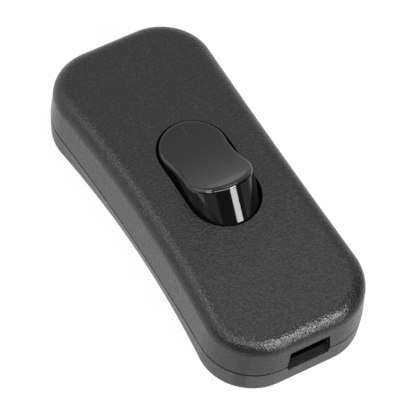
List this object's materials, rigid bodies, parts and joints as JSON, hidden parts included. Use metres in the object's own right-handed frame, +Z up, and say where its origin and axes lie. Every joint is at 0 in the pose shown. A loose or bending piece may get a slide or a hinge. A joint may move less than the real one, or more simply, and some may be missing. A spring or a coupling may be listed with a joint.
{
  "type": "inline cord switch",
  "caption": "Black inline cord switch: waisted two-part housing with rounded corners, a cord entry in each end and a gloss rocker, peanut-shaped, in a well in the crowned top.",
  "frame": {"origin": "middle of the underside, on the surface that the switch rests on", "axes": "+Y along the cord towards the end whose lobe is pressed in, +Z up, +X across"},
  "size_m": [0.0304, 0.07, 0.0212],
  "materials": {
    "cover_plastic": "black thermoplastic with a fine pebbled grain",
    "base_plastic": "black thermoplastic, fine satin grain",
    "rocker_plastic": "polished black thermoplastic",
    "clamp_plastic": "plain grey moulding",
    "brass": "stamped, bare",
    "contact_metal": "silver alloy rivet head",
    "screw_steel": "zinc plated",
    "spring_steel": "drawn wire"
  },
  "bodies": {
    "housing": {"top_cover": "cover_plastic", "bottom_cover": "base_plastic", "fixed_contact_tip": "contact_metal", "pivot_terminal": "brass", "fixed_terminal": "brass", "neutral_terminal": "brass", "cord_clamp_near": "clamp_plastic", "cord_clamp_far": "clamp_plastic", "housing_screw_near": "screw_steel", "housing_screw_far": "screw_steel", "pivot_terminal_screw": "screw_steel", "fixed_terminal_screw": "screw_steel", "neutral_screw_near": "screw_steel", "neutral_screw_far": "screw_steel", "clamp_screw_near_left": "screw_steel", "clamp_screw_near_right": "screw_steel", "clamp_screw_far_left": "screw_steel", "clamp_screw_far_right": "screw_steel"},
    "rocker": {"rocker": "rocker_plastic", "rocker_spring": "spring_steel"},
    "plunger": {"plunger": "clamp_plastic"},
    "bridge": {"contact_bridge": "brass", "moving_contact_tip": "contact_metal"}
  },
  "joints": [
    {"name": "rocker_hinge", "type": "hinge", "parent": "housing", "child": "rocker", "pos_m": [0, 0, 0.0121], "axis": [1, 0, 0], "range_deg": [0, 32]},
    {"name": "bridge_hinge", "type": "hinge", "parent": "housing", "child": "bridge", "pos_m": [0, 0, 0.005], "axis": [1, 0, 0], "range_deg": [-12, 0]},
    {"name": "plunger_slide", "type": "slide", "parent": "rocker", "child": "plunger", "axis": [0, 0.2756, 0.9613], "range_m": [0, 0.0005], "stiffness_N_per_m": 600, "deforming": ["rocker_spring"]}
  ],
  "couplings": [
    {"joint": "bridge_hinge", "follows": "rocker_hinge", "ratio": -0.375}
  ]
}
